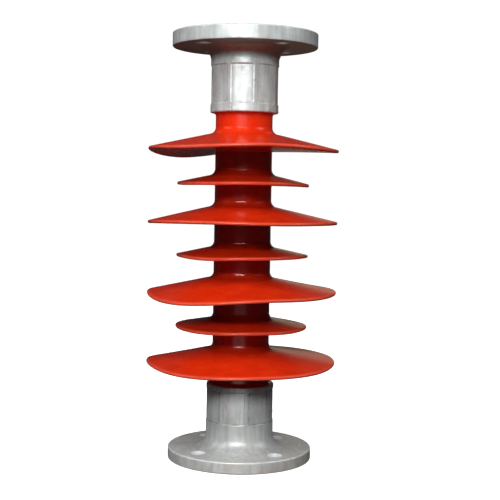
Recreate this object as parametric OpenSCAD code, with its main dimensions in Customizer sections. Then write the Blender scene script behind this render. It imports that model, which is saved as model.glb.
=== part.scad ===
// Composite station post insulator: glass-fibre core rod, silicone housing with alternating sheds,
// and two crimped flange fittings. Millimetres, +Z up, origin at the centre of the bottom mounting face.

/* [Overall] */
// Height from mounting face to mounting face
overall_h = 508; // [420:2:660]

/* [Core rod and sheath] */
// Diameter of the core rod
rod_d = 60; // [48:1:74]
// Thickness of the rubber sheath on the rod
sheath_t = 4; // [3:0.2:6]

/* [Sheds] */
// Number of large sheds, with a small one in each space between two of them
large_shed_count = 4; // [2:1:5]
// Diameter of the large sheds
large_shed_d = 227; // [185:1:275]
// Diameter of the small sheds
small_shed_d = 158; // [125:1:195]
// Thickness of a shed at its rim
shed_rim_t = 4; // [3:0.2:6]
// Slope of a large shed's upper side, in degrees
large_shed_slope = 12.6; // [9:0.1:16.4]
// Slope of a small shed's upper side, in degrees
small_shed_slope = 11.4; // [9:0.1:16]
// Radius where a shed's upper side meets the sheath
shed_root_r = 8; // [4:0.5:10]
// Radius where a shed's underside meets the sheath
shed_under_r = 1.5; // [0.5:0.1:2.5]
// Thickness of a shed's collar where it runs out on the sheath
shed_collar_t = 0.3; // [0.2:0.05:0.6]
// Clear height from the bottom fitting's mouth to the middle of the lowest rim
lowest_shed_gap = 25; // [20:1:40]
// Clear height from the middle of the highest rim to the top fitting's mouth
highest_shed_gap = 43; // [36:1:60]
// Share of the bare sheath between two large sheds that lies below the small one
small_shed_balance = 0.41; // [0.3:0.01:0.7]

/* [Bolt circle] */
// Bolt circle diameter, the same at both ends
bolt_circle_d = 127; // [105:1:160]
// Number of bolt holes in a flange
bolt_count = 4; // [3:1:8]
// Diameter of a bolt hole, for an M16 bolt
bolt_hole_d = 18; // [13:1:22]
// Distance from the bolt circle to the flange's rim
bolt_edge = 23; // [18:0.2:30]

/* [Flanges and hubs] */
// Thickness of the bottom flange
bottom_flange_t = 14; // [11:0.5:20]
// Thickness of the top flange
top_flange_t = 17; // [12:0.5:24]
// Length of a hub, from the flange to its mouth
hub_l = 77; // [66:0.5:95]
// Wall of a hub round the rod
hub_wall = 10.5; // [8.5:0.1:14]
// Radius between a hub and its flange
hub_fillet_r = 16; // [10:1:22]
// Chamfer on the flange's edges
flange_chamfer = 1.2; // [0.5:0.1:2]
// Radius of a hub's outer edge at its mouth
mouth_round = 1.5; // [0.8:0.1:4]

/* [Crimp] */
// Number of crimping jaws, each leaving one impression
jaw_count = 8; // [6:1:10]
// Depth of an impression at its middle
crimp_depth = 0.9; // [0.7:0.1:1.5]
// Radius of a jaw's face, over the hub's own
jaw_flatness = 14; // [8:0.5:18]
// Width of the ridge left between two impressions
ridge_w = 3; // [2:0.5:6]
// Length left plain between the bottom hub's mouth and its impressions
bottom_lip_l = 5.4; // [4.2:0.1:10]
// Length left plain between the top hub's mouth and its impressions
top_lip_l = 9.8; // [4.2:0.1:10]
// Length of the impressions in the bottom hub
bottom_crimp_l = 40; // [30:0.5:46]
// Length of the impressions in the top hub
top_crimp_l = 46; // [30:0.5:46]
// Turn of the bottom hub's impressions about the axis, in degrees
bottom_crimp_turn = -6; // [-22:1:22]
// Turn of the top hub's impressions about the axis, in degrees
top_crimp_turn = 0; // [-22:1:22]

/* [Seals] */
// Depth of the pocket in a hub's mouth that the sheath's end sits in
mouth_depth = 10; // [8.5:0.5:14]
// Clear length left beyond the sheath's end in the pocket
sheath_end_clearance = 0.5; // [0.2:0.1:1]
// Diameter of the o-ring's cord before it is squeezed
o_ring_cord = 4; // [3:0.2:4.8]
// Amount by which the groove squeezes the o-ring
o_ring_squeeze = 0.5; // [0.3:0.1:0.8]
// Side clearance of the o-ring in its groove, both sides together
o_ring_side_clearance = 0.4; // [0.2:0.1:0.8]
// Land between the mouth and the o-ring groove
o_ring_land = 3; // [2:0.1:4]
// Width and height of the sealant fillet at a mouth
sealant_leg = 3.4; // [2:0.1:4]
// How hollow the sealant fillet is: 0 is tangent to both sides, larger is flatter
sealant_flatness = 1.2; // [0.8:0.1:4]

/* [End caps] */
// Radial overlap of the end cap on its shoulder
cap_seat = 3; // [2:0.1:4]
// Thickness of the end cap
cap_t = 3; // [2:0.1:4]
// Depth of the end cap's face below the mounting face
cap_recess = 1.5; // [0.5:0.1:3]
// Thickness of the sealing compound between the rod's end and the cap
cap_sealant_t = 2; // [1:0.1:4]

/* [Hidden] */
$fn = 96;
// Overlap by which a cut runs past the face that it opens
cut_past = 1;

rod_r = rod_d / 2;
sheath_r = rod_r + sheath_t;
hub_r = rod_r + hub_wall;
flange_r = bolt_circle_d / 2 + bolt_edge;
cap_r = rod_r + cap_seat;

// Depth of each end's stack below its mounting face
cap_seat_depth = cap_recess + cap_t;
rod_end_depth = cap_seat_depth + cap_sealant_t;

// Distance of each mouth from its own mounting face
bottom_mouth = bottom_flange_t + hub_l;
top_mouth = top_flange_t + hub_l;

// How far a shed reaches along the sheath, below and above the middle of its rim
shed_below = shed_rim_t / 2 + shed_under_r;
function shed_above(shed_d, slope) =
    let (
        edge_r = shed_rim_t / 2,
        run = shed_d / 2 - edge_r - sheath_r - shed_collar_t - shed_root_r
    )
    (edge_r + run * sin(slope) + shed_root_r) / cos(slope);
large_shed_above = shed_above(large_shed_d, large_shed_slope);
small_shed_above = shed_above(small_shed_d, small_shed_slope);

// Rims, from the lowest large shed up
lowest_rim_z = bottom_mouth + lowest_shed_gap;
highest_rim_z = overall_h - top_mouth - highest_shed_gap;
shed_pitch = (highest_rim_z - lowest_rim_z) / (large_shed_count - 1);
bare_sheath = shed_pitch - large_shed_above - small_shed_above - 2 * shed_below;
function large_rim_z(i) = lowest_rim_z + (i - 1) * shed_pitch;
function small_rim_z(i) =
    large_rim_z(i) + large_shed_above + small_shed_balance * bare_sheath + shed_below;

// O-ring groove
groove_depth = o_ring_cord - o_ring_squeeze;
groove_w = o_ring_cord + o_ring_side_clearance;

// Crimp impressions
jaw_r = hub_r + jaw_flatness;
impression_w = 2 * hub_r * sin(180 / jaw_count) - ridge_w;

large_sheds = [for (i = [1:large_shed_count]) str("large_shed_", i)];
small_sheds = [for (i = [1:large_shed_count - 1]) str("small_shed_", i)];

// Points of an arc about a centre, from one angle to another
function arc(centre, r, from, to, steps) = [
    for (k = [0:steps])
        let (a = from + (to - from) * k / steps)
        centre + r * [cos(a), sin(a)]
];

// Places what is drawn for the bottom end, with its mounting face at z = 0, at the top end
module at_top() {
    translate([0, 0, overall_h]) mirror([0, 0, 1]) children();
}

module core_rod() {
    color("khaki")
        translate([0, 0, rod_end_depth])
            cylinder(r = rod_r, h = overall_h - 2 * rod_end_depth);
}

module sheath() {
    low = bottom_mouth - mouth_depth + sheath_end_clearance;
    high = overall_h - top_mouth + mouth_depth - sheath_end_clearance;
    color([0.62, 0.10, 0.06])
        translate([0, 0, low])
            rotate_extrude()
                translate([rod_r, 0]) square([sheath_t, high - low]);
}

// Half section of a shed, with the middle of its rim at height 0: a flat underside, a round rim,
// a straight upper slope and a fillet that runs up the sheath
module shed_section(shed_d, slope) {
    edge_r = shed_rim_t / 2;
    rim = [shed_d / 2 - edge_r, 0];
    // Centre of the upper fillet, which touches both the slope and the collar
    root = [sheath_r + shed_collar_t + shed_root_r, shed_above(shed_d, slope)];
    under = [sheath_r + shed_under_r, -shed_below];
    polygon(concat(
        [[sheath_r, root[1]]],
        [[sheath_r, under[1]]],
        arc(under, shed_under_r, 180, 90, 4),
        arc(rim, edge_r, -90, 90 - slope, 8),
        arc(root, shed_root_r, 270 - slope, 180, 8)
    ));
}

module large_shed(i) {
    color([0.80, 0.15, 0.06])
        translate([0, 0, large_rim_z(i)])
            rotate_extrude() shed_section(large_shed_d, large_shed_slope);
}

module small_shed(i) {
    color([0.80, 0.15, 0.06])
        translate([0, 0, small_rim_z(i)])
            rotate_extrude() shed_section(small_shed_d, small_shed_slope);
}

// Half section of a fitting's outside, with its mounting face at height 0
module fitting_section(flange_t) {
    mouth = flange_t + hub_l;
    c = flange_chamfer;
    polygon(concat(
        [[0, 0], [flange_r - c, 0], [flange_r, c], [flange_r, flange_t - c], [flange_r - c, flange_t]],
        arc([hub_r + hub_fillet_r, flange_t + hub_fillet_r], hub_fillet_r, 270, 180, 10),
        arc([hub_r - mouth_round, mouth - mouth_round], mouth_round, 0, 90, 6),
        [[0, mouth]]
    ));
}

// What one crimping jaw presses out of a hub, facing +X and starting at height 0
module jaw_bite(crimp_l) {
    difference() {
        translate([0, -impression_w / 2, 0]) cube([jaw_r, impression_w, crimp_l]);
        translate([hub_r - crimp_depth - jaw_r, 0, -cut_past])
            cylinder(r = jaw_r, h = crimp_l + 2 * cut_past);
    }
}

module end_fitting(flange_t, lip_l, crimp_l, crimp_turn) {
    mouth = flange_t + hub_l;
    difference() {
        rotate_extrude() fitting_section(flange_t);
        // Bore for the rod
        translate([0, 0, -cut_past]) cylinder(r = rod_r, h = mouth + 2 * cut_past);
        // Seat for the end cap
        translate([0, 0, -cut_past]) cylinder(r = cap_r, h = cap_seat_depth + cut_past);
        // Pocket for the end of the sheath
        translate([0, 0, mouth - mouth_depth]) cylinder(r = sheath_r, h = mouth_depth + cut_past);
        // Groove for the o-ring
        translate([0, 0, mouth - o_ring_land - groove_w])
            cylinder(r = sheath_r + groove_depth, h = groove_w);
        // Bolt holes
        for (k = [0:bolt_count - 1])
            rotate([0, 0, (k + 0.5) * 360 / bolt_count])
                translate([bolt_circle_d / 2, 0, -cut_past])
                    cylinder(d = bolt_hole_d, h = flange_t + hub_fillet_r);
        // Crimp impressions
        for (k = [0:jaw_count - 1])
            rotate([0, 0, crimp_turn - 90 + k * 360 / jaw_count])
                translate([0, 0, mouth - lip_l - crimp_l]) jaw_bite(crimp_l);
    }
}

module bottom_end_fitting() {
    color("silver") end_fitting(bottom_flange_t, bottom_lip_l, bottom_crimp_l, bottom_crimp_turn);
}

module top_end_fitting() {
    color("silver") at_top() end_fitting(top_flange_t, top_lip_l, top_crimp_l, top_crimp_turn);
}

// O-ring, squeezed flat between the sheath and the bottom of its groove
module mouth_o_ring(mouth) {
    color("dimgray")
        translate([0, 0, mouth - o_ring_land - groove_w / 2])
            rotate_extrude()
                translate([sheath_r + groove_depth / 2, 0])
                    intersection() {
                        circle(d = o_ring_cord);
                        square([groove_depth, 2 * o_ring_cord], center = true);
                    }
}

module bottom_mouth_o_ring() { mouth_o_ring(bottom_mouth); }

module top_mouth_o_ring() { at_top() mouth_o_ring(top_mouth); }

// Hollow-faced fillet of sealant between the mouth's face and the sheath
module mouth_sealant(mouth) {
    face = sealant_leg + sealant_flatness;
    color([0.45, 0.08, 0.06])
        translate([0, 0, mouth])
            rotate_extrude()
                translate([sheath_r, 0])
                    difference() {
                        square(sealant_leg);
                        translate([face, face]) circle(r = norm([face, sealant_flatness]));
                    }
}

module bottom_mouth_sealant() { mouth_sealant(bottom_mouth); }

module top_mouth_sealant() { at_top() mouth_sealant(top_mouth); }

module cap_sealant() {
    color("gainsboro")
        translate([0, 0, cap_seat_depth]) cylinder(r = rod_r, h = cap_sealant_t);
}

module bottom_cap_sealant() { cap_sealant(); }

module top_cap_sealant() { at_top() cap_sealant(); }

module end_cap() {
    color("darkgray")
        translate([0, 0, cap_recess]) cylinder(r = cap_r, h = cap_t);
}

module bottom_end_cap() { end_cap(); }

module top_end_cap() { at_top() end_cap(); }

core_rod();
sheath();
for (i = [1:large_shed_count])
    large_shed(i);
for (i = [1:large_shed_count - 1])
    small_shed(i);
bottom_end_fitting();
top_end_fitting();
bottom_mouth_o_ring();
top_mouth_o_ring();
bottom_mouth_sealant();
top_mouth_sealant();
bottom_cap_sealant();
top_cap_sealant();
bottom_end_cap();
top_end_cap();
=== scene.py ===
"""Looks for a composite station post insulator: wavy silicone sheds on a sheath between two crimped,
galvanised flange fittings. Blender works in metres; the sizes below are in millimetres and become
metres where a mesh is made."""

import math

import bpy
import numpy as np
from mathutils import Matrix, Vector, noise


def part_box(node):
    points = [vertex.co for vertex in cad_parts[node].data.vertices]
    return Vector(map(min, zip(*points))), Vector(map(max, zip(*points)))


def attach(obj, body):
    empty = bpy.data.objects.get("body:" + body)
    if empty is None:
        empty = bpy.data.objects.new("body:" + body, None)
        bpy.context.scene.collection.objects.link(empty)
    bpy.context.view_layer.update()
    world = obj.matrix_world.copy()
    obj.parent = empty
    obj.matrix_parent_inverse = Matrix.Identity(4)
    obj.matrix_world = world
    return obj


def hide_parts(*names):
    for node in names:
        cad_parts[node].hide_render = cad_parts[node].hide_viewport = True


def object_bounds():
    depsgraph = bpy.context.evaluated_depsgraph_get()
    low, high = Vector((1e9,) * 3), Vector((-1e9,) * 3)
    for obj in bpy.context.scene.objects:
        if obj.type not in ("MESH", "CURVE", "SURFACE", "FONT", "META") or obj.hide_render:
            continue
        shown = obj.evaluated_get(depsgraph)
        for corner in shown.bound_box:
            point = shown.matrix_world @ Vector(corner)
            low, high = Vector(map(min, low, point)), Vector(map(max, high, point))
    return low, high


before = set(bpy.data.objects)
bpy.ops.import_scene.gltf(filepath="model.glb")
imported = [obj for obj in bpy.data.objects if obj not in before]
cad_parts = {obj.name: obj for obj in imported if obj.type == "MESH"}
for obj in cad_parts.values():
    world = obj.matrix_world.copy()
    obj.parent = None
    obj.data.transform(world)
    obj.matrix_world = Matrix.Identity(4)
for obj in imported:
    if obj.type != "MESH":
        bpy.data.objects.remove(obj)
cad_low, cad_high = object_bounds()

MM = 0.001

# ---------------------------------------------------------------- camera

# The camera stands about 1.3 m from the post's axis and looks slightly down. A scratch program
# fitted these seven values to the photo's outlines.
VIEW_AZIMUTH = 3.9          # degrees round the post from the -Y side
CAMERA_DISTANCE = 1280.8
CAMERA_HEIGHT = 328.0
CAMERA_SIDESTEP = 9.45      # to the right of the axis
CAMERA_PITCH = 3.436        # degrees below the horizon
CAMERA_ROLL = 0.97          # degrees, anticlockwise
LENS = 76.87                # on a 36 mm sensor


def around(azimuth, distance, height, sideways=0.0):
    a = math.radians(VIEW_AZIMUTH + azimuth)
    right = Vector((math.cos(a), math.sin(a), 0))
    towards_camera = Vector((math.sin(a), -math.cos(a), 0))
    return (right * sideways + towards_camera * distance + Vector((0, 0, height))) * MM


def make_camera():
    data = bpy.data.cameras.new("camera")
    data.lens = LENS
    data.sensor_width = 36.0
    data.clip_start, data.clip_end = 0.05, 50.0
    camera = bpy.data.objects.new("camera", data)
    bpy.context.scene.collection.objects.link(camera)
    turn = Matrix.Rotation(math.radians(VIEW_AZIMUTH), 4, "Z")
    tilt = Matrix.Rotation(math.radians(90 - CAMERA_PITCH), 4, "X")
    roll = Matrix.Rotation(math.radians(CAMERA_ROLL), 4, "Z")
    place = around(0, CAMERA_DISTANCE, CAMERA_HEIGHT, CAMERA_SIDESTEP)
    camera.matrix_world = Matrix.Translation(place) @ turn @ tilt @ roll
    bpy.context.scene.camera = camera


make_camera()

# ---------------------------------------------------------------- sizes


def span(node):
    """A node's largest radius about the axis, and its lowest and highest point, in millimetres."""
    low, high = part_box(node)
    return max(high.x, high.y) / MM, low.z / MM, high.z / MM


POST_H = cad_high.z / MM
ROD_R = span("core_rod")[0]
SHEATH_R, SHEATH_LOW, SHEATH_HIGH = span("sheath")
FLANGE_R, _, BOTTOM_MOUTH = span("bottom_end_fitting")
TOP_MOUTH = POST_H - span("top_end_fitting")[1]
CAP_R, CAP_LOW, CAP_HIGH = span("bottom_end_cap")

# Sizes that the frame's boxes don't give, the same as the CAD model's
BOLT_CIRCLE_R = 63.5
BOLT_HOLE_R = 9.0
HUB_L = 77.0
HUB_R = 40.5
HUB_FILLET_R = 16.0
MOUTH_ROUND = 1.5
MOUTH_DEPTH = 10.0
JAWS = 8
CRIMP_DEPTH = 0.9
JAW_R = 54.5
RIDGE_W = 3.0
SEALANT_LEG = 3.4
SHED_RIM_R = 2.0
SHED_UNDER_R = 1.5
SHED_ROOT_R = 8.0

# Columns round the smaller turned pieces, and how far a piece on the sheath is sunk into it
PLAIN_COLUMNS = 240
SUNK = 0.3


# ---------------------------------------------------------------- mesh helpers


def arc(centre, r, start, end, steps):
    """Points of an arc in a half section, from one angle to another, in degrees."""
    angles = [math.radians(start + (end - start) * k / steps) for k in range(steps + 1)]
    return [(centre[0] + r * math.cos(a), centre[1] + r * math.sin(a)) for a in angles]


def line(start, end, steps):
    """Points of a straight line, without its last point."""
    return [
        (start[0] + (end[0] - start[0]) * k / steps, start[1] + (end[1] - start[1]) * k / steps)
        for k in range(steps)
    ]


def smooth(edge0, edge1, x):
    t = np.clip((x - edge0) / (edge1 - edge0), 0.0, 1.0)
    return t * t * (3 - 2 * t)


def wander(points, scale, seed):
    """Smooth noise between about -1 and 1 at each point, with features about scale millimetres wide."""
    shift = Vector((17.3 * seed, 5.1 * seed, 11.7 * seed))
    return np.array([noise.noise(Vector(p) / scale + shift) for p in points])


def make_object(name, verts, faces, node, material):
    """A piece from vertices in millimetres, that rides on the post and stands for a CAD node."""
    mesh = bpy.data.meshes.new(name)
    mesh.from_pydata([tuple(v) for v in np.asarray(verts) * MM], [], faces)
    mesh.validate()
    mesh.polygons.foreach_set("use_smooth", [True] * len(mesh.polygons))
    piece = bpy.data.objects.new(name, mesh)
    bpy.context.scene.collection.objects.link(piece)
    mesh.materials.append(material)
    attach(piece, "root")
    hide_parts(node)
    return piece


def lathe(profile, columns, shape=None):
    """Vertices and faces of a closed half section turned about the axis.

    The section runs anticlockwise when the axis is on its left. shape moves the vertices of all rings,
    given as arrays of radius, height and angle, and returns new radii and heights.
    """
    section = np.array(profile)
    rows = len(section)
    angle = np.linspace(0, 2 * math.pi, columns, endpoint=False)
    r = np.repeat(section[:, 0:1], columns, axis=1)
    z = np.repeat(section[:, 1:2], columns, axis=1)
    a = np.repeat(angle[None, :], rows, axis=0)
    if shape:
        r, z = shape(r, z, a)
    verts = np.stack([r * np.cos(a), r * np.sin(a), z], axis=-1).reshape(-1, 3)
    faces = []
    for j in range(rows):
        k = (j + 1) % rows
        for i in range(columns):
            n = (i + 1) % columns
            faces.append((j * columns + i, j * columns + n, k * columns + n, k * columns + i))
    return verts, faces


# ---------------------------------------------------------------- materials


class Nodes:
    """A short way to build a material's node tree."""

    def __init__(self, name):
        self.material = bpy.data.materials.new(name)
        self.material.use_nodes = True
        self.tree = self.material.node_tree
        self.shader = self.tree.nodes["Principled BSDF"]
        self.place = self.add("ShaderNodeTexCoord").outputs["Object"]

    def add(self, kind, **settings):
        node = self.tree.nodes.new(kind)
        for key, value in settings.items():
            setattr(node, key, value)
        return node

    def link(self, source, target):
        self.tree.links.new(source, target)

    def noise(self, scale, detail=4.0, roughness=0.5, stretch=(1, 1, 1)):
        """Noise whose features are about scale millimetres wide."""
        mapping = self.add("ShaderNodeMapping")
        mapping.inputs["Scale"].default_value = stretch
        self.link(self.place, mapping.inputs["Vector"])
        node = self.add("ShaderNodeTexNoise")
        node.inputs["Scale"].default_value = 1.0 / (scale * MM)
        node.inputs["Detail"].default_value = detail
        node.inputs["Roughness"].default_value = roughness
        self.link(mapping.outputs["Vector"], node.inputs["Vector"])
        return node.outputs["Fac"]

    def height(self):
        """Height above the bottom mounting face, in metres."""
        split = self.add("ShaderNodeSeparateXYZ")
        self.link(self.place, split.inputs["Vector"])
        return split.outputs["Z"]

    def cells(self, scale):
        """A random grey for each cell of a pattern about scale millimetres wide."""
        node = self.add("ShaderNodeTexVoronoi")
        node.inputs["Scale"].default_value = 1.0 / (scale * MM)
        self.link(self.place, node.inputs["Vector"])
        grey = self.add("ShaderNodeSeparateColor")
        self.link(node.outputs["Color"], grey.inputs["Color"])
        return grey.outputs["Red"]

    def ramp(self, factor, low, high, start, end):
        """Maps a factor from low..high to start..end, which are both numbers."""
        node = self.add("ShaderNodeMapRange")
        node.inputs["From Min"].default_value = low
        node.inputs["From Max"].default_value = high
        node.inputs["To Min"].default_value = start
        node.inputs["To Max"].default_value = end
        self.link(factor, node.inputs["Value"])
        return node.outputs["Result"]

    def math(self, operation, a, b):
        node = self.add("ShaderNodeMath", operation=operation)
        for socket, value in zip(node.inputs, (a, b)):
            if isinstance(value, (int, float)):
                socket.default_value = value
            else:
                self.link(value, socket)
        return node.outputs["Value"]

    def mix(self, factor, a, b, blend="MIX"):
        node = self.add("ShaderNodeMix", data_type="RGBA", blend_type=blend)
        for socket, value in ((node.inputs[0], factor), (node.inputs[6], a), (node.inputs[7], b)):
            if isinstance(value, (int, float)):
                socket.default_value = value
            elif isinstance(value, tuple):
                socket.default_value = (*value, 1.0)
            else:
                self.link(value, socket)
        return node.outputs[2]

    def attribute(self, name):
        return self.add("ShaderNodeAttribute", attribute_name=name).outputs["Fac"]

    def bump(self, height, depth, strength=1.0):
        """Adds a bump of about depth millimetres after any bump there already."""
        node = self.add("ShaderNodeBump")
        node.inputs["Strength"].default_value = strength
        node.inputs["Distance"].default_value = depth * MM
        self.link(height, node.inputs["Height"])
        normal = self.shader.inputs["Normal"]
        if normal.links:
            self.link(normal.links[0].from_socket, node.inputs["Normal"])
        self.link(node.outputs["Normal"], normal)

    def set(self, **values):
        for key, value in values.items():
            socket = self.shader.inputs[key.replace("_", " ")]
            if isinstance(value, (int, float)):
                socket.default_value = value
            elif isinstance(value, tuple):
                socket.default_value = (*value, 1.0)
            else:
                self.link(value, socket)


def galvanised_steel():
    """Weathered hot-dip zinc on cast steel: soft grey mottle, faint crystals, runs and a pebbly skin."""
    n = Nodes("galvanised_steel")
    mottle = n.ramp(n.noise(16.0, detail=4.0, roughness=0.5), 0.35, 0.65, 0.0, 1.0)
    colour = n.mix(mottle, (0.47, 0.505, 0.50), (0.57, 0.605, 0.60))
    painted_bottom_light = n.ramp(n.height(), 0.095, 0.120, 0.45, 0.0)     # painted light: the bottom fitting is made lighter than the top one
    colour = n.mix(painted_bottom_light, colour, (0.73, 0.75, 0.74))
    runs = n.ramp(n.noise(5.0, detail=3.0, stretch=(1, 1, 0.12)), 0.35, 0.65, 0.87, 1.08)
    colour = n.mix(1.0, colour, runs, blend="MULTIPLY")
    crystals = n.ramp(n.cells(2.6), 0.0, 1.0, 0.965, 1.03)
    colour = n.mix(1.0, colour, crystals, blend="MULTIPLY")
    stain = n.ramp(n.noise(26.0, detail=3.0), 0.52, 0.72, 0.0, 0.4)
    colour = n.mix(stain, colour, (0.46, 0.41, 0.36))
    grime = n.ramp(n.height(), 0.000, 0.016, 0.60, 0.0)
    grime = n.math("MULTIPLY", grime, n.ramp(n.noise(9.0, detail=4.0), 0.42, 0.62, 0.1, 1.0))
    colour = n.mix(grime, colour, (0.52, 0.37, 0.26))
    # Painted shade along the edges of the crimp impressions
    crimp_edge_shade = n.math("MULTIPLY", n.attribute("crimp_edge_shade"), n.ramp(n.noise(6.0), 0.35, 0.6, 0.15, 0.75))
    colour = n.mix(crimp_edge_shade, colour, (0.20, 0.19, 0.17))
    # Painted highlight along the flange's rounded edges
    flange_edge_highlight = n.math("MULTIPLY", n.attribute("flange_edge_highlight"), n.ramp(n.noise(9.0), 0.35, 0.55, 0.3, 0.9))
    colour = n.mix(flange_edge_highlight, colour, (0.88, 0.90, 0.90))
    # Painted shade under the top flange: its underside and the hub fillet are darkened
    painted_shade = n.math("MULTIPLY", n.ramp(n.height(), 0.470, 0.490, 0.0, 0.75),
                       n.ramp(n.height(), 0.4913, 0.4922, 1.0, 0.0))
    colour = n.mix(painted_shade, colour, (0.17, 0.26, 0.20))
    colour = n.mix(n.attribute("residue"), colour, (0.56, 0.16, 0.11))
    # Painted light: the bolt holes' walls are lightened to near white
    colour = n.mix(n.attribute("hole_wall_light"), colour, (0.86, 0.88, 0.90))
    roughness = n.ramp(n.noise(5.0, detail=4.0), 0.3, 0.7, 0.38, 0.50)
    n.set(Base_Color=colour, Metallic=0.3, Roughness=roughness)
    n.bump(n.noise(2.2, detail=3.0), 0.08, 0.4)
    n.bump(n.noise(0.45, detail=2.0), 0.02, 0.4)
    return n.material


def silicone(name, colour_low, colour_high, dust=0.05):
    """Filled silicone rubber: satin, slightly uneven in colour, with a trace of dust."""
    n = Nodes(name)
    cloud = n.ramp(n.noise(22.0, detail=5.0, roughness=0.6), 0.35, 0.65, 0.0, 1.0)
    colour = n.mix(cloud, colour_low, colour_high)
    grain = n.ramp(n.noise(1.1, detail=3.0), 0.3, 0.7, 0.93, 1.05)
    colour = n.mix(1.0, colour, grain, blend="MULTIPLY")
    powder = n.ramp(n.noise(6.0, detail=8.0, roughness=0.75), 0.50, 0.80, 0.0, dust)
    colour = n.mix(powder, colour, (0.62, 0.30, 0.24))
    # Painted shade: the rubber between the sheds is darkened towards deep red
    gap_shade_mix = n.math("MULTIPLY", n.attribute("painted_shade"), 0.55)
    colour = n.mix(gap_shade_mix, colour, (0.12, 0.002, 0.001))
    # Painted highlight: the sheds' rounded rims are lightened
    shed_rim_highlight = n.math("MULTIPLY", n.attribute("edge"), 0.30)
    colour = n.mix(shed_rim_highlight, colour, (0.86, 0.22, 0.13))
    roughness = n.ramp(n.noise(4.0, detail=4.0), 0.3, 0.7, 0.17, 0.25)
    n.set(Base_Color=colour, Roughness=roughness, Specular_IOR_Level=0.35)
    n.bump(n.noise(3.5, detail=2.0), 0.05, 0.35)
    n.bump(n.noise(0.5, detail=2.0), 0.012, 0.5)
    return n.material


def plain_rubber(name, colour, roughness):
    """Matt rubber or sealing compound with a fine grain."""
    n = Nodes(name)
    grain = n.ramp(n.noise(0.9, detail=4.0), 0.3, 0.7, 0.85, 1.12)
    colour = n.mix(1.0, colour, grain, blend="MULTIPLY")
    n.set(Base_Color=colour, Roughness=n.ramp(n.noise(3.0), 0.3, 0.7, roughness - 0.08, roughness + 0.08))
    n.bump(n.noise(0.6, detail=3.0), 0.03, 0.6)
    return n.material


def fibreglass():
    """Glass-fibre reinforced epoxy: pale, with fibres along the rod."""
    n = Nodes("fibreglass")
    fibres = n.noise(0.8, detail=3.0, stretch=(1, 1, 0.02))
    colour = n.mix(n.ramp(fibres, 0.35, 0.65, 0.0, 1.0), (0.42, 0.40, 0.20), (0.60, 0.57, 0.34))
    n.set(Base_Color=colour, Roughness=n.ramp(fibres, 0.3, 0.7, 0.28, 0.40))
    n.bump(fibres, 0.02, 0.5)
    return n.material


def pressed_steel():
    """Zinc-plated sheet steel with rolling marks."""
    n = Nodes("cap_steel")
    rolled = n.noise(0.6, detail=4.0, stretch=(0.05, 1, 1))
    colour = n.mix(n.ramp(rolled, 0.3, 0.7, 0.0, 1.0), (0.40, 0.41, 0.43), (0.55, 0.56, 0.58))
    patina = n.ramp(n.noise(11.0, detail=5.0), 0.50, 0.75, 0.0, 0.4)
    colour = n.mix(patina, colour, (0.36, 0.34, 0.31))
    n.set(Base_Color=colour, Metallic=1.0, Roughness=n.ramp(rolled, 0.3, 0.7, 0.32, 0.44))
    n.bump(rolled, 0.01, 0.5)
    return n.material


STEEL = galvanised_steel()
RED = silicone("silicone", (0.60, 0.019, 0.002), (0.69, 0.029, 0.003))
SEALANT = silicone("mouth_sealant", (0.42, 0.016, 0.008), (0.52, 0.024, 0.010), dust=0.2)
CAP_STEEL = pressed_steel()
CAD_MATERIALS = {
    "core_rod": fibreglass(),
    "bottom_mouth_o_ring": plain_rubber("o_ring_rubber", (0.02, 0.02, 0.02), 0.5),
    "bottom_cap_sealant": plain_rubber("cap_sealant", (0.55, 0.55, 0.52), 0.6),
}
CAD_MATERIALS["top_mouth_o_ring"] = CAD_MATERIALS["bottom_mouth_o_ring"]
CAD_MATERIALS["top_cap_sealant"] = CAD_MATERIALS["bottom_cap_sealant"]
for node, material in CAD_MATERIALS.items():
    for material_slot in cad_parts[node].material_slots:
        material_slot.material = material

# ---------------------------------------------------------------- sheds

SHED_COLUMNS = 360

# Silicone sheds sag and sway. For each: how far its root sits above (+) or below (-) its place, and
# how far its rim is bent up (+) or down (-) at eight directions round the post, in millimetres:
# right, back right, back, back left, left, front left, front, front right.
# Not an example to follow: these numbers come from a scratch program's least-squares fit to the
# photo's outlines. A few bends chosen by hand for each shed should replace the table.
SHED_SWAY = {
    "large_shed_4": (0.4, (-1.0, 5.2, 4.1, -7.1, -1.1, -1.3, 1.5, 0.2)),
    "small_shed_3": (1.1, (-1.6, -0.7, -0.5, 0.0, -0.7, -1.0, 0.1, -0.5)),
    "large_shed_3": (-1.1, (-0.1, -1.6, -1.4, -3.0, -1.5, 1.2, 1.5, 0.8)),
    "small_shed_2": (0.2, (0.0, -1.8, 0.3, -4.0, -0.6, -1.0, 0.2, 0.8)),
    "large_shed_2": (-1.3, (2.4, 2.2, 2.0, -2.5, 0.0, -5.6, 0.0, 0.8)),
    "small_shed_1": (-0.8, (0.9, 0.9, 3.0, 0.5, 1.1, -0.2, 0.9, 0.7)),
    "large_shed_1": (-1.6, (3.5, 4.4, 2.4, -3.2, 2.6, -0.4, 0.1, 0.4)),
}


def sway_round(values, angle):
    """A smooth closed curve through values given at equal steps round the post."""
    spectrum = np.fft.rfft(values) / len(values)
    total = np.full_like(angle, spectrum[0].real)
    for k in range(1, len(spectrum)):
        share = 1 if 2 * k == len(values) else 2
        total += share * (spectrum[k] * np.exp(1j * k * angle)).real
    return total


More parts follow.
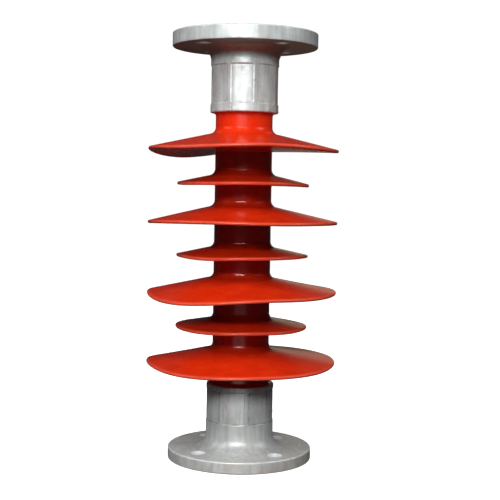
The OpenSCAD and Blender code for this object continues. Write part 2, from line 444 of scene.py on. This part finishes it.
def shed_profile(shed_r, slope, rim_z, above):
    """Closed half section of a shed: bore, flat underside, round rim, sloping top, root fillet."""
    rim_x = shed_r - SHED_RIM_R
    under_z = rim_z - SHED_RIM_R
    inside = SHEATH_R - SUNK
    root = (SHEATH_R + SHED_ROOT_R, rim_z + above)
    slope_start = (
        root[0] - SHED_ROOT_R * math.sin(math.radians(slope)),
        root[1] - SHED_ROOT_R * math.cos(math.radians(slope)),
    )
    rim_top = arc((rim_x, rim_z), SHED_RIM_R, -90, 90 - slope, 10)
    under_root = arc(
        (SHEATH_R + SHED_UNDER_R, under_z - SHED_UNDER_R), SHED_UNDER_R, 180, 90, 4
    )
    points = line((inside, root[1]), (inside, under_z - SHED_UNDER_R), 6)
    points += [(inside, under_z - SHED_UNDER_R)]
    points += under_root[:-1]
    points += line(under_root[-1], rim_top[0], 30)
    points += rim_top[:-1]
    points += line(rim_top[-1], slope_start, 36)
    points += arc(root, SHED_ROOT_R, 270 - slope, 180, 10)
    return points


def make_shed(node, slope):
    shed_r, low, _ = span(node)
    rim_z = low + SHED_RIM_R + SHED_UNDER_R
    rim_x = shed_r - SHED_RIM_R
    run = rim_x - SHEATH_R - SHED_ROOT_R
    tilt = math.radians(slope)
    above = (SHED_RIM_R + run * math.sin(tilt) + SHED_ROOT_R) / math.cos(tilt)
    profile = shed_profile(shed_r, slope, rim_z, above)
    root_shift, sway = SHED_SWAY[node]
    seed = 1 + list(SHED_SWAY).index(node)

    def shape(r, z, a):
        out = np.clip((r - SHEATH_R - 4) / (shed_r - SHEATH_R - 4), 0, 1)
        rim_points = np.stack([np.cos(a) * 60, np.sin(a) * 60, 0 * a], axis=-1)
        ripple = wander(rim_points[0], 34.0, seed)[None, :]
        fine = wander(rim_points[0], 9.0, seed + 20)[None, :]
        view_angle = a - math.radians(VIEW_AZIMUTH)
        drop = root_shift + sway_round(sway, view_angle) * out**1.6
        drop = drop + ripple * 0.35 * out**2 + fine * 0.12 * out**3
        return r + fine * 0.2 * out**3, z + drop

    verts, faces = lathe(profile, SHED_COLUMNS, shape)
    piece = make_object(node + "_look", verts, faces, node, RED)
    rows = np.array(profile)
    # Painted highlight round each shed's rim, which the material lightens
    edge = np.exp(-((np.hypot(rows[:, 0] - rim_x - 1, rows[:, 1] - rim_z) / 2.2) ** 2))
    mark(piece, "edge", np.repeat(edge, SHED_COLUMNS))
    if node != TOP_SHED:
        # Painted shade at each shed's root, between the sheds
        painted_shade = 1 - smooth(36.0, 47.0, rows[:, 0])
        mark(piece, "painted_shade", np.repeat(painted_shade, SHED_COLUMNS))


def mark(piece, name, values):
    """Stores a number at each vertex, such as how much painted light or shade it gets, for the material."""
    layer = piece.data.attributes.new(name, "FLOAT", "POINT")
    layer.data.foreach_set("value", np.asarray(values, dtype=np.float32))


TOP_SHED = "large_shed_4"
LARGE_SLOPE = 12.6
SMALL_SLOPE = 11.4
for shed in SHED_SWAY:
    make_shed(shed, LARGE_SLOPE if shed.startswith("large") else SMALL_SLOPE)

# ---------------------------------------------------------------- sheath and sealant


def make_sheath():
    profile = (
        line((ROD_R, SHEATH_HIGH), (ROD_R, SHEATH_LOW), 40)
        + line((ROD_R, SHEATH_LOW), (SHEATH_R, SHEATH_LOW), 2)
        + line((SHEATH_R, SHEATH_LOW), (SHEATH_R, SHEATH_HIGH), 170)
        + line((SHEATH_R, SHEATH_HIGH), (ROD_R, SHEATH_HIGH), 2)
    )

    def shape(r, z, a):
        points = np.stack([r * np.cos(a), r * np.sin(a), z * 0.6], axis=-1).reshape(-1, 3)
        outside = r > ROD_R + 1
        return r + outside * wander(points, 16.0, 3).reshape(r.shape) * 0.10, z

    verts, faces = lathe(profile, PLAIN_COLUMNS, shape)
    piece = make_object("sheath_look", verts, faces, "sheath", RED)
    # Painted shade: the rubber between the sheds is darkened to a deeper red than the bare top end
    top_shed_low = span(TOP_SHED)[1]
    mark(piece, "painted_shade", 1 - smooth(top_shed_low, top_shed_low + 12, verts[:, 2]))


def make_mouth_sealant(node, mouth, direction, seed):
    """A hand-run fillet of sealant; direction is +1 where the mouth faces up and -1 where it faces down."""
    hollow = 1.2
    face = SEALANT_LEG + hollow
    start = 180 + math.degrees(math.asin(hollow / math.hypot(face, hollow)))
    end = 270 - math.degrees(math.asin(hollow / math.hypot(face, hollow)))
    curve = arc((SHEATH_R + face, face), math.hypot(face, hollow), start, end, 10)
    section = [(SHEATH_R - SUNK, -SUNK), (SHEATH_R + SEALANT_LEG, -SUNK)]
    section += list(reversed(curve))
    section += [(SHEATH_R - SUNK, SEALANT_LEG)]
    if direction < 0:
        section = [(r, -z) for r, z in reversed(section)]
    section = [(r, mouth + z) for r, z in section]

    def shape(r, z, a):
        ring = np.stack([np.cos(a[0]) * 38, np.sin(a[0]) * 38, 0 * a[0]], axis=-1)
        swell = 1 + 0.22 * wander(ring, 11.0, seed)[None, :] + 0.10 * wander(ring, 3.5, seed + 5)[None, :]
        r = np.where(r > SHEATH_R, SHEATH_R + (r - SHEATH_R) * swell, r)
        up = (z - mouth) * direction
        z = np.where(up > 0, mouth + direction * up * swell, z)
        return r, z

    verts, faces = lathe(section, PLAIN_COLUMNS, shape)
    make_object(node + "_look", verts, faces, node, SEALANT)


make_sheath()
make_mouth_sealant("bottom_mouth_sealant", BOTTOM_MOUTH, 1, 41)
make_mouth_sealant("top_mouth_sealant", POST_H - TOP_MOUTH, -1, 52)

# ---------------------------------------------------------------- end fittings

FITTING_COLUMNS = 720
HOLE_COLUMNS = 27           # columns on each side of a bolt hole that its own patch takes up
BAND_IN, BAND_OUT = 50.5, 76.5      # radii that the patch reaches
BAND_ROWS = 14
HOLE_ANGLES = (45, 135, 225, 315)
HOLE_ROUND = 0.8            # rounded edge of a bolt hole
RIM_ROUND = 1.8             # rounded edge of the flange

# Rubber smeared on the bottom hub in moulding: direction in degrees, height, half width, half height
# and how thick it is
RUBBER_MARKS = (
    (-110.6, 70.0, 0.9, 3.5, 0.6), (-109.0, 66.0, 0.7, 3.0, 0.5), (-110.0, 90.0, 2.2, 0.8, 0.8),
    (-103.0, 90.3, 1.4, 0.7, 0.7), (-96.0, 90.6, 1.0, 0.5, 0.5), (-71.0, 90.4, 1.8, 0.6, 0.5),
    (-116.0, 87.5, 0.8, 1.8, 0.4),
)


class Fitting:
    """An end fitting standing on its mounting face; the top one is turned over at the end."""

    def __init__(self, node, flange_t, lip_l, crimp_l, turn, at_top, seed):
        self.node, self.flange_t, self.lip_l, self.crimp_l = node, flange_t, lip_l, crimp_l
        self.turn, self.at_top, self.seed = turn, at_top, seed
        self.mouth = flange_t + HUB_L
        self.verts, self.faces, self.wall = [], [], []

    def face_z(self, r):
        """Height of the flange's inner face, which the hub fillet joins, at a radius."""
        reach = max(HUB_R + HUB_FILLET_R - r, 0.0)
        return self.flange_t + HUB_FILLET_R - math.sqrt(HUB_FILLET_R**2 - reach**2)

    def face_cast(self, x, y):
        """Casting unevenness of the flange's inner face."""
        points = np.stack([x, y, 0 * x], axis=-1).reshape(-1, 3)
        uneven = 0.16 * wander(points, 18.0, self.seed) + 0.05 * wander(points, 5.0, self.seed + 3)
        return uneven.reshape(x.shape) - 0.1

    def section(self):
        """Half section from the cap's seat outward, round the flange, up the hub and down the bore.
        The two runs of rows that the bolt holes interrupt are kept as self.low_band, self.high_band."""
        mouth, thick, seat = self.mouth, self.flange_t, CAP_HIGH
        band = list(np.linspace(BAND_IN, BAND_OUT, BAND_ROWS + 1))
        outer = FLANGE_R - RIM_ROUND
        fillet = (HUB_R + HUB_FILLET_R, thick + HUB_FILLET_R)
        bore = SHEATH_R + 0.05
        rows = line((ROD_R, seat), (CAP_R, seat), 2) + line((CAP_R, seat), (CAP_R, 0.6), 3)
        rows += arc((CAP_R + 0.6, 0.6), 0.6, 180, 270, 3)
        rows += line((CAP_R + 2.0, 0), (BAND_IN, 0), 8)
        self.low_band = (len(rows), len(rows) + BAND_ROWS)
        rows += [(r, 0.0) for r in band]
        rows += line((BAND_OUT, 0), (outer, 0), 4)[1:]
        rows += arc((outer, RIM_ROUND), RIM_ROUND, -90, 0, 6)
        rows += line((FLANGE_R, RIM_ROUND), (FLANGE_R, thick - RIM_ROUND), 12)[1:]
        rows += arc((outer, thick - RIM_ROUND), RIM_ROUND, 0, 90, 6)
        rows += line((outer, thick), (BAND_OUT, thick), 4)[1:]
        self.high_band = (len(rows), len(rows) + BAND_ROWS)
        rows += [(r, self.face_z(r)) for r in reversed(band)]
        start = math.degrees(math.asin((fillet[0] - BAND_IN) / HUB_FILLET_R))
        rows += arc(fillet, HUB_FILLET_R, 270 - start, 180, 20)[1:]
        rows += line((HUB_R, fillet[1]), (HUB_R, mouth - MOUTH_ROUND), 124)[1:]
        rows += arc((HUB_R - MOUTH_ROUND, mouth - MOUTH_ROUND), MOUTH_ROUND, 0, 90, 8)
        rows += line((HUB_R - MOUTH_ROUND, mouth), (bore, mouth), 4)[1:]
        rows += line((bore, mouth), (bore, mouth - MOUTH_DEPTH), 4)
        rows += line((bore, mouth - MOUTH_DEPTH), (ROD_R, mouth - MOUTH_DEPTH), 2)
        rows += line((ROD_R, mouth - MOUTH_DEPTH), (ROD_R, seat), 10)
        return rows

    def dent(self, r, z, a):
        """How far the crimping jaws have pressed the hub in, at each vertex. The impressions' edges, which
        the material darkens with painted shade, are kept as self.crimp_edge."""
        pitch = 2 * math.pi / JAWS
        across = (a - math.radians(self.turn - 90) + pitch / 2) % pitch - pitch / 2
        jaw_axis = HUB_R - CRIMP_DEPTH - JAW_R
        reach = jaw_axis * np.cos(across) + np.sqrt(JAW_R**2 - (jaw_axis * np.sin(across)) ** 2)
        depth = np.maximum(HUB_R - reach, 0)
        corner = 2.6
        half_w = HUB_R * math.sin(pitch / 2) - RIDGE_W / 2
        middle = self.mouth - self.lip_l - self.crimp_l / 2
        dx = np.abs(HUB_R * np.sin(across)) - (half_w - corner)
        dz = np.abs(z - middle) - (self.crimp_l / 2 - corner)
        away = np.hypot(np.maximum(dx, 0), np.maximum(dz, 0)) + np.minimum(np.maximum(dx, dz), 0)
        away -= corner          # distance outside the impression's edge
        pressed = 1 - smooth(-1.5, 0.2, away)
        bite = 0.06 * np.exp(-(((away + 1.5) / 0.8) ** 2)) * pressed
        burr = 0.04 * np.exp(-(((away - 0.7) / 0.6) ** 2))
        on_hub = (r > ROD_R + 5) & (r < HUB_R + 6)
        on_hub &= (z < self.mouth - 1.0) & (z > self.flange_t + 0.3 * HUB_FILLET_R)
        self.crimp_edge = np.where(on_hub, np.exp(-(((away + 1.1) / 0.8) ** 2)), 0).ravel()
        return np.where(on_hub, depth * pressed + bite - burr, 0)

    def lumps(self):
        """Small lumps of zinc on the hub and mouth: angle, height, width and rise."""
        draw = np.random.default_rng(self.seed)
        for low, high, count, size in ((self.flange_t + 4, self.mouth - 1, 46, 0.8),
                                       (self.mouth - 4, self.mouth - 0.5, 20, 1.0)):
            for _ in range(count):
                yield (draw.uniform(0, 2 * math.pi), draw.uniform(low, high),
                       size * draw.uniform(0.6, 1.3), draw.uniform(0.12, 0.42))

    def shape(self, r, z, a):
        outside = (r > SHEATH_R + 0.2) & (z > self.flange_t - 0.2)
        on_face = smooth(41.0, 49.0, r)
        points = np.stack([r * np.cos(a), r * np.sin(a), z], axis=-1).reshape(-1, 3)
        grow = 0.16 * wander(points, 15.0, self.seed) + 0.05 * wander(points, 4.0, self.seed + 7)
        grow = grow.reshape(r.shape)
        for angle, height, width, rise in self.lumps():
            away = (a - angle + math.pi) % (2 * math.pi) - math.pi
            grow += rise * np.exp(-((away * r / width) ** 2) - ((z - height) / (width * 1.5)) ** 2)
        cast = self.face_cast(r * np.cos(a), r * np.sin(a)) * on_face
        z_out = z + np.where(outside, cast, 0)
        r_out = r - self.dent(r, z, a) + np.where(outside, grow * (1 - on_face), 0)
        rim = (r > FLANGE_R - 0.1) & (z > 0.1)
        return r_out + np.where(rim, 0.3 * grow - 0.1, 0), z_out

    def build(self):
        verts, faces = lathe(self.section(), FITTING_COLUMNS, self.shape)
        self.verts = [tuple(v) for v in verts]
        cut = set()
        for angle in HOLE_ANGLES:
            middle = round(angle / 360 * FITTING_COLUMNS)
            cut |= {c % FITTING_COLUMNS for c in range(middle - HOLE_COLUMNS, middle + HOLE_COLUMNS)}
        rows = {*range(*self.low_band), *range(*self.high_band)}
        self.faces = [
            f for n, f in enumerate(faces)
            if n // FITTING_COLUMNS not in rows or n % FITTING_COLUMNS not in cut
        ]
        for angle in HOLE_ANGLES:
            self.drill(angle)
        # Leave out the vertices whose faces the bolt holes have taken
        faces = np.array(self.faces)
        used = np.zeros(len(self.verts), dtype=bool)
        used[faces.ravel()] = True
        faces = (np.cumsum(used) - 1)[faces]
        stands = np.array(self.verts)[used]
        verts = stands.copy()
        if self.at_top:
            verts[:, 2] = POST_H - verts[:, 2]
            faces = faces[:, ::-1]
        piece = make_object(
            self.node + "_look", verts, faces.tolist(), self.node, STEEL
        )
        # The top fitting's hole walls get less painted light, and its crimp edges less painted shade
        hole_wall_light, crimp_edge_shade = np.zeros(len(used)), np.zeros(len(used))
        hole_wall_light[self.wall] = 0.2 if self.at_top else 1.0
        crimp_edge_shade[:len(self.crimp_edge)] = self.crimp_edge * (0.45 if self.at_top else 1.0)
        mark(piece, "hole_wall_light", hole_wall_light[used])
        mark(piece, "crimp_edge_shade", crimp_edge_shade[used])
        mark(piece, "residue", self.residue(stands))
        mark(piece, "flange_edge_highlight", self.flange_edge_highlight(stands))

    def flange_edge_highlight(self, verts):
        """How much painted highlight each vertex gets: the rounded edges of the flange."""
        r, z = np.hypot(verts[:, 0], verts[:, 1]), verts[:, 2]
        off_edge = np.abs(z - self.flange_t / 2) - (self.flange_t / 2 - 0.6)
        return np.exp(-((off_edge / 0.7) ** 2) - ((r - FLANGE_R + 0.5) / 0.7) ** 2)

    def residue(self, verts):
        """How much red rubber is smeared on each vertex: a streak and a few chips by the bottom mouth."""
        r, z = np.hypot(verts[:, 0], verts[:, 1]), verts[:, 2]
        angle = np.degrees(np.arctan2(verts[:, 1], verts[:, 0]))
        total = np.zeros(len(verts))
        for middle, height, width, length, amount in () if self.at_top else RUBBER_MARKS:
            across = np.radians((angle - middle + 180) % 360 - 180) * r
            total += amount * np.exp(-((across / width) ** 2) - ((z - height) / length) ** 2)
        return np.where(r > SHEATH_R + 2, np.minimum(total, 1), 0)

    def patch_rim(self, angle, band):
        """Indices round a hole's patch, anticlockwise seen from outside the fitting."""
        middle = round(angle / 360 * FITTING_COLUMNS)
        first, last = middle - HOLE_COLUMNS, middle + HOLE_COLUMNS
        start, end = band

        def at(row, column):
            return row * FITTING_COLUMNS + column % FITTING_COLUMNS

        rim = [at(start, c) for c in range(first, last)]
        rim += [at(row, last) for row in range(start, end)]
        rim += [at(end, c) for c in range(last, first, -1)]
        rim += [at(row, first) for row in range(end, start, -1)]
        return rim

    def add_ring(self, points):
        first = len(self.verts)
        self.verts += [tuple(p) for p in points]
        return list(range(first, first + len(points)))

    def join(self, outer, inner):
        for k in range(len(outer)):
            n = (k + 1) % len(outer)
            self.faces.append((outer[k], outer[n], inner[n], inner[k]))

    def drill(self, angle):
        """Fills the gap left in both flange faces round a bolt hole, and joins them by its wall."""
        a = math.radians(angle)
        centre = np.array([math.cos(a), math.sin(a)]) * BOLT_CIRCLE_R
        edges = []
        for band, inward in ((self.low_band, 1), (self.high_band, -1)):
            rim = self.patch_rim(angle, band)
            start = np.array([self.verts[k] for k in rim])[:, :2]
            out = start - centre
            out /= np.linalg.norm(out, axis=1)[:, None]
            steps = [(share, 0.0) for share in (0.3, 0.55, 0.78, 1.0)]
            steps += [(1.0, math.radians(turn)) for turn in (30, 60, 90)]
            for share, turn in steps:
                edge = centre + out * (BOLT_HOLE_R + HOLE_ROUND * (1 - math.sin(turn)))
                xy = start + (edge - start) * share
                z = np.full(len(xy), inward * HOLE_ROUND * (1 - math.cos(turn)))
                if inward < 0:
                    r = np.hypot(xy[:, 0], xy[:, 1])
                    z += np.array([self.face_z(value) for value in r])
                    z += self.face_cast(xy[:, 0], xy[:, 1])
                ring = self.add_ring(np.column_stack([xy, z]))
                self.join(rim, ring)
                rim = ring
            edges.append(rim)
        low, high = edges
        self.wall += low + high
        # The upper edge runs the other way round and starts at another corner
        high = high[::-1]
        high = high[BAND_ROWS - 1:] + high[:BAND_ROWS - 1]
        bottom = np.array([self.verts[k] for k in low])
        top = np.array([self.verts[k] for k in high])
        for share in (0.25, 0.5, 0.75):
            ring = self.add_ring(bottom + (top - bottom) * share)
            self.wall += ring
            self.join(low, ring)
            low = ring
        self.join(low, high)


Fitting(
    "bottom_end_fitting", flange_t=14.0, lip_l=5.4, crimp_l=40.0, turn=-6, at_top=False, seed=61
).build()
Fitting(
    "top_end_fitting", flange_t=17.0, lip_l=9.8, crimp_l=46.0, turn=0, at_top=True, seed=62
).build()

# ---------------------------------------------------------------- end caps


def make_cap(node, at_top):
    """A pressed round plate with rounded edges and a shallow stiffening step."""
    low, high = CAP_LOW, CAP_HIGH
    edge, step_r, step = 0.5, 20.0, 0.5
    r = CAP_R - 0.02
    rows = line((0.6, low + step), (step_r, low + step), 16)
    rows += [(step_r + 0.6 * k / 4, low + step * (1 - smooth(0, 4, k))) for k in range(4)]
    rows += line((step_r + 0.6, low), (r - edge, low), 10)
    rows += arc((r - edge, low + edge), edge, -90, 0, 4)
    rows += arc((r - edge, high - edge), edge, 0, 90, 4)
    rows += line((r - edge, high), (0.6, high), 20)[1:]
    rows += [(0.6, high)]
    verts, faces = lathe(rows, PLAIN_COLUMNS)
    # Close the small hole left round the axis
    faces = [f for f in faces if f[0] // PLAIN_COLUMNS != len(rows) - 1]
    verts = [tuple(v) for v in verts]
    for row, flip in ((len(rows) - 1, False), (0, True)):
        centre = len(verts)
        verts.append((0, 0, rows[row][1]))
        first = row * PLAIN_COLUMNS
        for i in range(PLAIN_COLUMNS):
            a, b = first + i, first + (i + 1) % PLAIN_COLUMNS
            faces.append((b, a, centre) if flip else (a, b, centre))
    verts = np.array(verts)
    if at_top:
        verts[:, 2] = POST_H - verts[:, 2]
        faces = [f[::-1] for f in faces]
    make_object(node + "_look", verts, faces, node, CAP_STEEL)


make_cap("bottom_end_cap", False)
make_cap("top_end_cap", True)

# ---------------------------------------------------------------- light and floor


AMBIENT = 0.03              # brightness of the surroundings for all but the camera
FLOOR_GLOW = 1.0
FLOOR_Z = -0.0004           # just under the bottom mounting face, in metres


def white_surroundings():
    """Plain white behind the post for the camera, and dim grey for everything else."""
    world = bpy.data.worlds.new("surroundings")
    bpy.context.scene.world = world
    world.use_nodes = True
    tree = world.node_tree
    tree.nodes.clear()
    output = tree.nodes.new("ShaderNodeOutputWorld")
    mix = tree.nodes.new("ShaderNodeMixShader")
    rays = tree.nodes.new("ShaderNodeLightPath")
    dim = tree.nodes.new("ShaderNodeBackground")
    dim.inputs["Color"].default_value = (0.92, 0.96, 1.0, 1)
    dim.inputs["Strength"].default_value = AMBIENT
    white = tree.nodes.new("ShaderNodeBackground")
    white.inputs["Color"].default_value = (1, 1, 1, 1)
    white.inputs["Strength"].default_value = 1.05
    tree.links.new(rays.outputs["Is Camera Ray"], mix.inputs["Fac"])
    tree.links.new(dim.outputs["Background"], mix.inputs[1])
    tree.links.new(white.outputs["Background"], mix.inputs[2])
    tree.links.new(mix.outputs["Shader"], output.inputs["Surface"])


LIGHT_DISTANCE = 2000.0
MIDDLE = 254.0              # height of the post's middle
FOOT = 50.0                 # height that the low lights face


def softbox(name, azimuth, elevation, width, height, power, mirrored=True, cast=True, aim=MIDDLE,
            tint=(1, 1, 1)):
    """A rectangular light that faces the post, placed by angles from the camera's side. Its width and
    height are in metres. mirrored: reflections show it; cast: it lights matt surfaces."""
    data = bpy.data.lights.new(name, "AREA")
    data.shape = "RECTANGLE"
    data.size, data.size_y = width, height
    data.energy = power
    data.color = tint
    light = bpy.data.objects.new(name, data)
    bpy.context.scene.collection.objects.link(light)
    flat = LIGHT_DISTANCE * math.cos(math.radians(elevation))
    up = LIGHT_DISTANCE * math.sin(math.radians(elevation))
    place = around(azimuth, flat, aim + up)
    facing = (Vector((0, 0, aim * MM)) - place).to_track_quat("-Z", "Y")
    light.matrix_world = Matrix.Translation(place) @ facing.to_matrix().to_4x4()
    light.visible_glossy, light.visible_diffuse = mirrored, cast


white_surroundings()
softbox("key", -12, 48, 1.5, 0.8, 28, mirrored=False)
softbox("low_key", -10, 21, 1.2, 0.3, 25, mirrored=False)
softbox("front_card", -8, 19, 1.2, 0.28, 29, cast=False)
softbox("low_card", -6, -12, 1.6, 0.3, 3.6, cast=False, aim=FOOT)
softbox("low_fill", 0, -6, 2.4, 0.4, 0.8, mirrored=False, aim=FOOT)
softbox("left_fill", -72, 30, 0.9, 0.8, 5)
softbox("right_fill", 72, 30, 0.9, 0.8, 7)
softbox("back_glare", 170, 5, 0.9, 0.5, 0.6, tint=(1.0, 0.80, 0.58))
softbox("back_fill", 180, 50, 1.6, 1.0, 4)


def make_floor(half_w=3.0):
    """A plain pale floor, white to the camera, that throws no light back up at the post."""
    corners = [(x * half_w, y * half_w, FLOOR_Z) for x, y in ((-1, -1), (1, -1), (1, 1), (-1, 1))]
    mesh = bpy.data.meshes.new("floor")
    mesh.from_pydata(corners, [], [(0, 1, 2, 3)])
    material = bpy.data.materials.new("floor")
    material.use_nodes = True
    shader = material.node_tree.nodes["Principled BSDF"]
    shader.inputs["Base Color"].default_value = (0.9, 0.9, 0.9, 1)
    shader.inputs["Roughness"].default_value = 0.9
    shader.inputs["Emission Color"].default_value = (1, 1, 1, 1)
    shader.inputs["Emission Strength"].default_value = FLOOR_GLOW
    mesh.materials.append(material)
    floor = bpy.data.objects.new("floor", mesh)
    bpy.context.scene.collection.objects.link(floor)
    floor.visible_diffuse = False
    floor.visible_glossy = False
    floor.visible_shadow = False


make_floor()
bpy.context.scene.view_settings.view_transform = "Standard"
